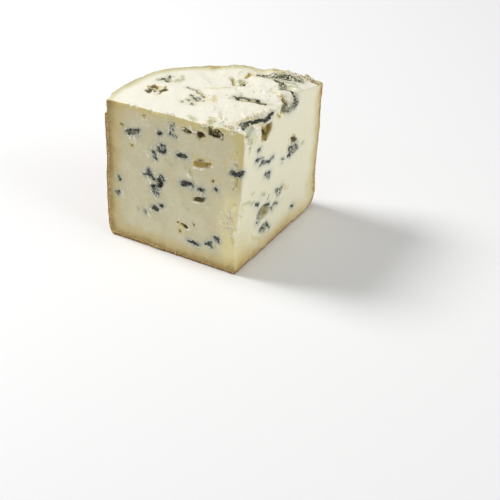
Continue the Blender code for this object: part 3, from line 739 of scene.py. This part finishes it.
# Depth under each face. A point belongs to the face that it lies least far under.
upside_down = solid[:, :, ::-1]
flipped = surface * (1, 1, -1) + (0, 0, (2 * grid.low[2] + grid.shape[2] - 1) * VOXEL)
under = {
    "old_cut": depth_below(solid, surface, 0, CUT_REACH),
    "new_cut": depth_below(solid, surface, 1, CUT_REACH),
    "top": depth_below(upside_down, flipped, 2, TOP_REACH),
    "skin": rind - SKIN,
}
belongs = {}
for name, depth in under.items():
    others = np.minimum.reduce([value for other, value in under.items() if other != name])
    belongs[name] = smooth(-0.4, 0.4, others - depth)
height = surface[:, 2] - FLOOR_SHIFT
edge_ripple = 1.5 * grid.sample(middle, surface)
thin_edge = smooth(9, 1, surface[:, 1] + edge_ripple) * smooth(60, 72, height)
top_edge = smooth(7, 2, TOP - height + 0.6 * edge_ripple)

# Ripeness is 1 at the rind. It reaches far into the old cut, mostly high up, and least into the top; on the
# new cut the band also reaches further towards the foot.
ripe_reach = 5 + belongs["new_cut"] * (7 + 7 * smooth(50, 15, height)) + 3 * belongs["top"]
ripe_reach += belongs["old_cut"] * (11 + 5 * smooth(40, 90, height))
ripe = np.clip(1 - rind / ripe_reach, 0, 1) * (1 - 0.2 * belongs["new_cut"]) - 0.1 * belongs["top"]

# The foot of the thin edge is yellow.
from_thin_edge = np.maximum(np.abs(surface[:, 0]), np.abs(surface[:, 1]))
foot_edge = smooth(42, 10, height) * smooth(26, 6, from_thin_edge)
side_edge = smooth(68, 50, height) * smooth(18, 4, from_thin_edge)

paint = {
    **near_marks,
    **belongs,
    "scuff": scuff,
    "gold": foot_edge * belongs["new_cut"],
    "butter": side_edge * belongs["old_cut"],
    "rim": np.minimum(under["old_cut"], under["new_cut"]),
    "top_rim": under["top"],
    "crease": grid.sample(crease_field, surface),
    "rind": rind,
    "deep": np.clip(np.minimum.reduce(list(under.values())), 0, 20),
    "dry": np.maximum(thin_edge, top_edge) * belongs["old_cut"],
    "ripe": ripe,
    "hollow": grid.sample(hollow_field, surface),
    "torn": grid.sample(torn_top, surface),
}


def make_block():
    """The block's mesh in metres, with its paint as one number for each point under each name."""
    mesh = bpy.data.meshes.new("blue_cheese_block")
    places = (from_field(surface) + foot) * MM
    mesh.from_pydata(places.tolist(), [], faces.tolist())
    for name, numbers in paint.items():
        layer = mesh.attributes.new(name, "FLOAT", "POINT")
        layer.data.foreach_set("value", np.ascontiguousarray(numbers, dtype=np.float32))
    mesh.shade_smooth()
    return add_object("cheese_block", mesh)


def srgb(red, green, blue):
    """The linear colour of three 8-bit values."""
    linear = [((c / 255 + 0.055) / 1.055) ** 2.4 if c > 10 else c / 3295 for c in (red, green, blue)]
    return (*linear, 1.0)


class Nodes:
    """Short ways to add shader nodes, from numbers, colours of three 8-bit values, and other outputs."""

    def __init__(self, name):
        self.material = bpy.data.materials.new(name)
        self.material.use_nodes = True
        self.tree = self.material.node_tree
        self.shader = self.tree.nodes["Principled BSDF"]
        self.place = self.tree.nodes.new("ShaderNodeTexCoord").outputs["Object"]

    def put(self, socket, value):
        """Links an output to a socket, or sets it to a number or to a colour of three 8-bit values."""
        if isinstance(value, bpy.types.NodeSocket):
            self.tree.links.new(value, socket)
        else:
            socket.default_value = srgb(*value) if isinstance(value, tuple) else value

    def attribute(self, name):
        node = self.tree.nodes.new("ShaderNodeAttribute")
        node.attribute_name = name
        return node.outputs["Fac"]

    def noise(self, cell, detail, roughness, stretch=None):
        """Noise about 0.5 with bumps cell millimetres across."""
        node = self.tree.nodes.new("ShaderNodeTexNoise")
        place = self.place
        if stretch is not None:
            scale = self.tree.nodes.new("ShaderNodeVectorMath")
            scale.operation = "MULTIPLY"
            self.put(scale.inputs[0], place)
            scale.inputs[1].default_value = stretch
            place = scale.outputs[0]
        self.put(node.inputs["Vector"], place)
        node.inputs["Scale"].default_value = 1 / (cell * MM)
        node.inputs["Detail"].default_value = detail
        node.inputs["Roughness"].default_value = roughness
        return node.outputs["Fac"]

    def facing_up(self):
        """1 on level ground, 0 on upright faces and -1 on ceilings."""
        normal = self.tree.nodes.new("ShaderNodeNewGeometry").outputs["Normal"]
        split = self.tree.nodes.new("ShaderNodeSeparateXYZ")
        self.put(split.inputs[0], normal)
        return split.outputs["Z"]

    def math(self, operation, first, second, third=0.0):
        node = self.tree.nodes.new("ShaderNodeMath")
        node.operation = operation
        for socket, value in zip(node.inputs, (first, second, third)):
            self.put(socket, value)
        return node.outputs[0]

    def plus(self, first, second):
        return self.math("ADD", first, second)

    def times(self, first, second):
        return self.math("MULTIPLY", first, second)

    def scaled(self, value, factor, extra):
        """Value times factor, plus extra."""
        return self.math("MULTIPLY_ADD", value, factor, extra)

    def span(self, value, start, end, low=0.0, high=1.0):
        """Low where value is at start, high where it is at end, and an even curve between."""
        node = self.tree.nodes.new("ShaderNodeMapRange")
        node.interpolation_type = "SMOOTHSTEP"
        ends = (start, end, low, high)
        if start > end:
            ends = (end, start, high, low)
        for socket, number in zip(node.inputs, (value, *ends)):
            self.put(socket, number)
        return node.outputs["Result"]

    def mix(self, amount, first, second):
        node = self.tree.nodes.new("ShaderNodeMix")
        node.data_type = "RGBA"
        for index, value in ((0, amount), (6, first), (7, second)):
            self.put(node.inputs[index], value)
        return node.outputs[2]

    def tint(self, base, value, start, end, most, colour):
        """The base, with none of another colour where value is at start and the most of it at end."""
        return self.mix(self.span(value, start, end, 0.0, most), base, colour)

    def soften(self):
        """Light enters the cheese and comes out a little way off."""
        inputs = self.shader.inputs
        inputs["Subsurface Weight"].default_value = 0.2
        inputs["Subsurface Radius"].default_value = (0.9, 0.85, 0.55)
        inputs["Subsurface Scale"].default_value = 2.0 * MM
        inputs["Specular IOR Level"].default_value = 0.35

    def finish(self, colour, roughness, height):
        """Height is in millimetres."""
        self.put(self.shader.inputs["Base Color"], colour)
        self.put(self.shader.inputs["Roughness"], roughness)
        bump = self.tree.nodes.new("ShaderNodeBump")
        bump.inputs["Strength"].default_value = 1.0
        bump.inputs["Distance"].default_value = MM
        self.put(bump.inputs["Height"], height)
        self.put(self.shader.inputs["Normal"], bump.outputs[0])
        return self.material


def cheese_material():
    """The paste, the rind's skin and crust, the stains and the mould, mixed by what each point is made of,
    with painted shade in creases, cracks and hollows and painted highlights on flakes.
    """
    n = Nodes("cheese")
    names = ("mould", "deep", "rind", "hollow", "torn", "scuff", "skin", "old_cut", "top")
    mould, deep, rind, hollow, torn, scuff, skin, old_cut, top = [n.attribute(name) for name in names]
    cloud = n.noise(14, 3, 0.55)
    patch = n.noise(5, 3, 0.6)
    rag = n.noise(1.8, 3, 0.6)
    grain = n.noise(0.7, 2, 0.6)
    grit = n.noise(1.2, 2, 0.6)
    fleck = n.noise(0.9, 1, 0.5)
    chip = n.noise(1.3, 2, 0.6, stretch=(1.0, 1.0, 0.75))
    tuft = n.noise(2.6, 2, 0.55)
    facing_up = n.facing_up()

    # Paste: fresh and white on the top, drier and yellower on the cuts.
    fresh = (247, 243, 226)
    paste = n.mix(n.attribute("new_cut"), fresh, (236, 232, 205))
    paste = n.mix(old_cut, paste, (221, 214, 181))
    cloudy = n.span(cloud, 0.35, 0.7, 0, 0.55)
    paste = n.mix(n.times(cloudy, old_cut), paste, (203, 191, 146))
    paste = n.tint(paste, cloud, 0.5, 0.75, 0.3, (238, 228, 190))
    paste = n.tint(paste, rag, 0.45, 0.34, 0.14, (196, 180, 132))
    paste = n.tint(paste, rag, 0.56, 0.7, 0.35, fresh)
    paste = n.mix(n.times(n.attribute("gold"), 0.6), paste, (216, 200, 126))
    paste = n.mix(n.times(n.attribute("butter"), 0.9), paste, (240, 228, 170))
    paste = n.mix(n.times(n.attribute("dry"), 0.8), paste, (218, 201, 132))

    # Painted shade: creases of the torn top and the walls of gaps are painted yellower, and closed-in hollows
    # brown.
    crease = n.times(n.span(n.attribute("crease"), -0.18, -0.46, 0, 0.6), torn)
    paste = n.mix(crease, paste, (216, 194, 122))
    sunk_shade = n.plus(deep, n.scaled(patch, -1.6, 0.8))
    paste = n.tint(paste, sunk_shade, 0.6, 3.2, 0.55, (222, 205, 142))
    closed_in_shade = n.times(n.span(deep, 1.2, 3.6), n.span(hollow, -0.1, -1.2))
    closed_in_shade = n.times(closed_in_shade, n.span(torn, 0, 1, 0.85, 0.2))
    paste = n.mix(closed_in_shade, paste, (146, 122, 64))
    # Painted shadow: the ceilings of hollows, under their lips, are dark brown.
    roof_shadow = n.times(n.span(facing_up, -0.2, -0.8), n.span(deep, 0.5, 1.5))
    paste = n.mix(n.times(roof_shadow, 0.7), paste, (96, 70, 36))

    # The paste yellows and then browns towards the rind, whose cut edge is a coarse brown line.
    ripe = n.scaled(cloud, 0.5, n.plus(n.attribute("ripe"), -0.25))
    ripe = n.scaled(rag, 0.3, n.plus(ripe, -0.15))
    yellow = n.mix(top, (204, 182, 114), (212, 206, 154))
    paste = n.tint(paste, ripe, 0.05, 0.75, 0.75, yellow)
    browned = n.times(n.span(ripe, 0.55, 1, 0, 0.85), n.span(top, 0, 1, 1, 0.3))
    paste = n.mix(browned, paste, (146, 112, 54))
    crust = n.tint((148, 114, 54), grit, 0.36, 0.54, 1, (194, 158, 90))
    crust = n.tint(crust, fleck, 0.56, 0.64, 1, (230, 214, 172))
    crust = n.mix(top, crust, (186, 174, 122))
    crust_line = n.scaled(rag, -3, n.plus(rind, 1.5))
    crust_line = n.scaled(top, 1.2, crust_line)
    paste = n.tint(paste, crust_line, 2.4, 1.4, 0.85, crust)

    # Rind skin: tan and brown with powdery pale patches and dark specks, darkest along the cuts, with painted
    # shade in its hollows.
    tan = n.tint((142, 114, 64), patch, 0.35, 0.65, 1, (190, 166, 112))
    tan = n.tint(tan, hollow, -0.1, -0.7, 0.7, (100, 76, 42))
    bloom = n.plus(n.times(cloud, 0.6), n.times(rag, 0.5))
    tan = n.tint(tan, bloom, 0.53, 0.64, 0.75, (220, 213, 190))
    dark_speck = n.plus(n.times(grain, 0.6), n.times(patch, 0.5))
    tan = n.tint(tan, dark_speck, 0.62, 0.7, 0.8, (84, 78, 64))
    tan = n.tint(tan, n.attribute("rim"), 4.5, 0.8, 0.85, (140, 108, 58))
    tan = n.tint(tan, n.attribute("top_rim"), 4.5, 0.8, 0.8, (206, 190, 142))
    paste = n.mix(skin, paste, tan)

    wobble = n.scaled(rag, 2.4, -1.2)
    wobble = n.plus(wobble, n.scaled(grit, 1.8, -0.9))

    def near(kind):
        """How far off the marks of a kind are, with a ragged outline."""
        return n.plus(n.attribute(kind), wobble)

    def close_to(kind):
        """The same, with an outline half as ragged."""
        return n.plus(n.attribute(kind), n.times(wobble, 0.5))

    # Stains and mould marks, with painted shade along some tan marks, deep in ochre holes, in dark marks
    # inside holes and in the cracks.
    # Tan marks: stains, and painted shade under the lip of the front cleft and along steps of the torn top.
    paste = n.tint(paste, near("tan"), 1.6, -0.8, 0.65, (218, 204, 138))
    # Ochre inside holes, painted darker the deeper it lies, as painted shade.
    ochre = close_to("ochre")
    ochre_paste = n.tint((206, 198, 142), deep, 0.4, 2.5, 1, (196, 176, 104))
    paste = n.tint(paste, ochre, 0.8, -0.6, 0.9, ochre_paste)
    stain = near("brown")
    paste = n.tint(paste, stain, 1.5, -0.2, 0.65, (204, 180, 104))
    deep_stain = n.tint((66, 50, 34), grit, 0.4, 0.6, 1, (146, 118, 66))
    paste = n.tint(paste, stain, 0.3, -0.4, 0.9, deep_stain)
    green = near("olive")
    paste = n.tint(paste, green, 1.8, -0.3, 0.6, (202, 205, 164))
    paste = n.tint(paste, green, 0.2, -1.4, 0.6, (148, 154, 104))
    # Dark marks: mould lines, and painted shade on the shaded walls of holes.
    shade = near("dark")
    paste = n.tint(paste, shade, 1.8, -0.4, 0.7, (150, 134, 80))
    paste = n.tint(paste, shade, 0.5, -0.6, 0.9, (58, 50, 30))
    # Cracks are painted golden: painted shade in the crevices.
    golden = n.times(n.span(close_to("crack"), 0.8, 0, 0, 0.9), n.span(shade, 0.2, 1))
    paste = n.mix(golden, paste, n.mix(top, (238, 222, 160), (198, 172, 96)))

    # Mould: a blue-grey halo, a dark clump, and paler fluff in the middle of the large ones.
    edge = n.plus(mould, wobble)
    halo = n.times(n.span(mould, 7, 0, 0, 0.3), n.span(cloud, 0.3, 0.6))
    paste = n.mix(halo, paste, (180, 186, 170))
    fringe = n.mix(n.times(top, 0.7), (156, 166, 156), (206, 192, 136))
    paste = n.tint(paste, edge, 2.8, 0.2, 0.5, fringe)
    paste = n.tint(paste, near("mint"), 1, -0.6, 0.8, (222, 230, 202))
    blue = n.tint((20, 24, 17), tuft, 0.36, 0.62, 1, (50, 57, 48))
    blue = n.tint(blue, patch, 0.5, 0.64, 0.6, (50, 54, 30))
    blue = n.tint(blue, grit, 0.56, 0.66, 0.5, (112, 122, 120))
    blue = n.tint(blue, fleck, 0.64, 0.72, 0.4, (150, 154, 142))
    paste = n.tint(paste, edge, 0.6, -0.5, 1, blue)
    fluff = close_to("grey")
    fluffy = n.tint((104, 110, 108), grit, 0.4, 0.6, 1, (152, 156, 152))
    paste = n.tint(paste, fluff, 0.7, -0.5, 0.9, fluffy)

    # Spotty places are grey-green with black and white specks; the broken rind is white and brown.
    zone = n.span(near("spotty"), 1, -0.6)
    paste = n.mix(n.times(zone, n.span(tuft, 0.35, 0.6, 0.2, 0.8)), paste, (164, 166, 140))
    paste = n.mix(n.times(zone, n.span(grit, 0.52, 0.58)), paste, (36, 40, 32))
    paste = n.mix(n.times(zone, n.span(chip, 0.56, 0.62)), paste, (240, 238, 222))
    zone = n.span(near("crusty"), 0.8, -0.6)
    paste = n.mix(n.times(zone, n.span(chip, 0.46, 0.56)), paste, (242, 236, 216))
    paste = n.mix(n.times(zone, n.span(grit, 0.52, 0.6, 0, 0.9)), paste, (122, 94, 58))

    # Pale flakes where the knife scuffed the paste and around the mould, partly painted highlights where
    # raised flakes catch the light.
    scuffed = n.times(n.span(mould, 4, 0.6, 0, 0.8), n.span(edge, -0.4, 0.9, 0.15, 1))
    scuffed = n.math("MAXIMUM", scuffed, n.times(scuff, n.span(edge, -0.4, 0.9, 0.2, 0.9)))
    flecks_and_glints = n.times(scuffed, n.span(chip, 0.57, 0.64))
    flecks_and_glints = n.times(flecks_and_glints, n.span(torn, 0, 1, 1, 0.4))
    paste = n.mix(flecks_and_glints, paste, (242, 238, 218))
    paste = n.tint(paste, close_to("pale"), 0.3, -0.2, 0.85, (246, 243, 226))

    # Fine relief, in millimetres.
    height = n.times(n.span(torn, 0, 1, 0.05, 0.5), rag)
    height = n.scaled(n.span(skin, 0, 1, 0.02, 0.5), grain, height)
    height = n.scaled(n.span(edge, 0.8, -0.6, 0, 0.5), grit, height)
    height = n.scaled(scuff, n.times(chip, 0.7), height)
    height = n.scaled(grit, 0.16, height)
    height = n.scaled(patch, 0.15, height)
    roughness = n.span(skin, 0, 1, 0.55, 0.9)
    n.soften()
    return n.finish(paste, roughness, height)


# Clusters of loose crumbs, as two measures on a face, spread, how many there are and size, in millimetres.
CRUMBS = {
    "top": [
        (8, 19, 3, 4, 0.9), (14, 23, 3, 5, 0.9), (20, 26, 3, 5, 1.1), (26, 28, 3, 5, 0.9),
        (31, 31, 2, 4, 0.9), (45, 76, 4, 14, 0.7), (56, 79, 4, 10, 0.7), (61, 77.5, 3, 7, 0.6),
        (50, 73, 4, 10, 0.6), (48, 68, 4, 10, 0.7), (58, 82, 3, 3, 0.6), (60, 87, 4, 12, 0.9),
        (66, 84.5, 3, 12, 0.9), (72, 81, 3, 8, 0.8), (30, 60, 14, 7, 0.7), (12, 60, 10, 5, 0.7),
        (25, 80, 8, 6, 0.7), (35, 88, 4, 5, 0.8), (0, 8, 4, 12, 0.8), (-6, 14, 4, 12, 0.8),
        (-12, 19, 4, 12, 0.8), (-22, 29, 4, 10, 0.6), (44, 44, 4, 5, 0.7), (47, 60, 5, 6, 0.7),
        (-10, 60, 5, 5, 0.5), (-34, 39, 5, 6, 0.5),
    ],
    "left": [
        (6, 44, 6, 18, 0.7), (4, 34, 4, 12, 0.7), (9, 38, 5, 10, 0.6), (20, 101, 3, 7, 0.6),
        (65, 56, 6, 9, 0.5), (60, 48, 5, 8, 0.5), (79, 84, 3, 5, 0.5), (50, 96, 2, 6, 0.5),
        (37, 66, 2, 5, 0.6), (10, 100, 8, 8, 0.5),
    ],
    "right": [(10, 100, 5, 9, 0.8), (3, 44, 3, 8, 0.6), (22, 104, 4, 6, 0.7)],
}


def make_crumbs():
    """Small lumps pressed into the block, as one joined mesh."""
    chance = np.random.default_rng(31)
    ground = BVHTree.FromPolygons([Vector(place) for place in surface], faces.tolist())
    shape = bmesh.new()
    tone = shape.verts.layers.float.new("tone")
    clusters = [(RAYS[face], *cluster) for face, rows in CRUMBS.items() for cluster in rows]
    for ray, a, b, wide_by, count, size in clusters:
        for _ in range(count):
            start, way = ray(a + chance.normal() * wide_by / 2, b + chance.normal() * wide_by / 2)
            hit, normal = ground.ray_cast(Vector(start), Vector(way))[:2]
            radius = size * chance.uniform(0.5, 1.1)
            turn = Euler(chance.uniform(0, math.tau, 3)).to_matrix()
            stretch = Vector(chance.uniform(0.7, 1.2, 3))
            own_tone = chance.uniform()
            if hit is None:
                continue
            lump = bmesh.ops.create_icosphere(shape, subdivisions=3, radius=1)["verts"]
            for vert in lump:
                seed = vert.co * 1.4 + 10 * hit
                bumpy = 1 + 0.35 * noise.noise(seed) + 0.15 * noise.noise(seed * 2.3)
                vert[tone] = own_tone
                vert.co = turn @ (vert.co * bumpy * stretch) * radius + hit + normal * 0.2 * radius
    shape.verts.ensure_lookup_table()
    places = from_field(np.array([tuple(vert.co) for vert in shape.verts])) + foot
    for vert, place in zip(shape.verts, places):
        vert.co = place * MM
    mesh = bpy.data.meshes.new("crumbs")
    shape.to_mesh(mesh)
    shape.free()
    mesh.shade_smooth()
    return add_object("crumbs", mesh)


def crumb_material():
    """The paste of a crumb, from white to yellow, with a grainy surface."""
    n = Nodes("crumb")
    rag = n.noise(1.2, 2, 0.6)
    colour = n.mix(n.attribute("tone"), (247, 244, 228), (230, 218, 178))
    colour = n.tint(colour, rag, 0.45, 0.3, 0.5, (200, 182, 124))
    n.soften()
    return n.finish(colour, 0.6, n.times(rag, 0.3))


block = make_block()
block.data.materials.append(cheese_material())
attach(block, "root")
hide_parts("blue_cheese")
crumbs = make_crumbs()
crumbs.data.materials.append(crumb_material())
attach(crumbs, "root")

# Half the floor's width, in metres.
FLOOR_REACH = 6.0

# The soft lights: place and width in metres, and power. Both point at the same place.
LIGHTS = {
    "key": ((-0.86, 0.67, 1.17), 0.6, 18.5),
    "fill": ((1.15, -1.15, 0.75), 1.4, 11.5),
}
LIT_PLACE = (0, 0, 0.05)
SKY_STRENGTH = 0.36

# A long lens in front, turned a little to the left and looking down. Its target and distance are in
# millimetres, its roll is in degrees, and its two directions are the way back to it and its right.
CAMERA_TARGET = (14.2, -24.3, 0.0)
CAMERA_DISTANCE = 1303.1
CAMERA_BACK = (-0.2187, -0.8117, 0.5416)
CAMERA_RIGHT = (0.9656, -0.2602, 0.0)
CAMERA_ROLL = 1.163
CAMERA_LENS = 135.9
CAMERA_SENSOR = 36


def make_floor():
    mesh = bpy.data.meshes.new("floor")
    reach = FLOOR_REACH
    ends = [(-reach, -reach, 0), (reach, -reach, 0), (reach, reach, 0), (-reach, reach, 0)]
    mesh.from_pydata(ends, [], [(0, 1, 2, 3)])
    material = bpy.data.materials.new("floor")
    material.use_nodes = True
    shader = material.node_tree.nodes["Principled BSDF"]
    shader.inputs["Base Color"].default_value = (0.96, 0.96, 0.96, 1)
    shader.inputs["Roughness"].default_value = 0.9
    mesh.materials.append(material)
    return add_object("floor", mesh)


def add_light(name, place, width, power):
    """A round lamp that looks at the lit place."""
    light = bpy.data.lights.new(name, "AREA")
    light.shape = "DISK"
    light.size = width
    light.energy = power
    way = (Vector(LIT_PLACE) - Vector(place)).to_track_quat("-Z", "Y")
    add_object(name, light).matrix_world = Matrix.Translation(place) @ way.to_matrix().to_4x4()


def add_camera():
    back = Vector(CAMERA_BACK).normalized()
    right = Vector(CAMERA_RIGHT).normalized()
    up = back.cross(right)
    roll = math.radians(CAMERA_ROLL)
    across = math.cos(roll) * right + math.sin(roll) * up
    upward = math.cos(roll) * up - math.sin(roll) * right
    camera = bpy.data.cameras.new("camera")
    camera.sensor_width = CAMERA_SENSOR
    camera.lens = CAMERA_LENS
    camera.clip_start = 0.05
    camera.clip_end = 50
    view = add_object("camera", camera)
    place = Vector(CAMERA_TARGET) * MM + CAMERA_DISTANCE * MM * back
    view.matrix_world = Matrix.Translation(place) @ Matrix((across, upward, back)).transposed().to_4x4()
    bpy.context.scene.camera = view


make_floor()
for name, values in LIGHTS.items():
    add_light(name, *values)
world = bpy.data.worlds.new("world")
world.use_nodes = True
sky = world.node_tree.nodes["Background"].inputs
sky["Color"].default_value = (1, 1, 1, 1)
sky["Strength"].default_value = SKY_STRENGTH
bpy.context.scene.world = world
bpy.context.scene.view_settings.view_transform = "Standard"
add_camera()
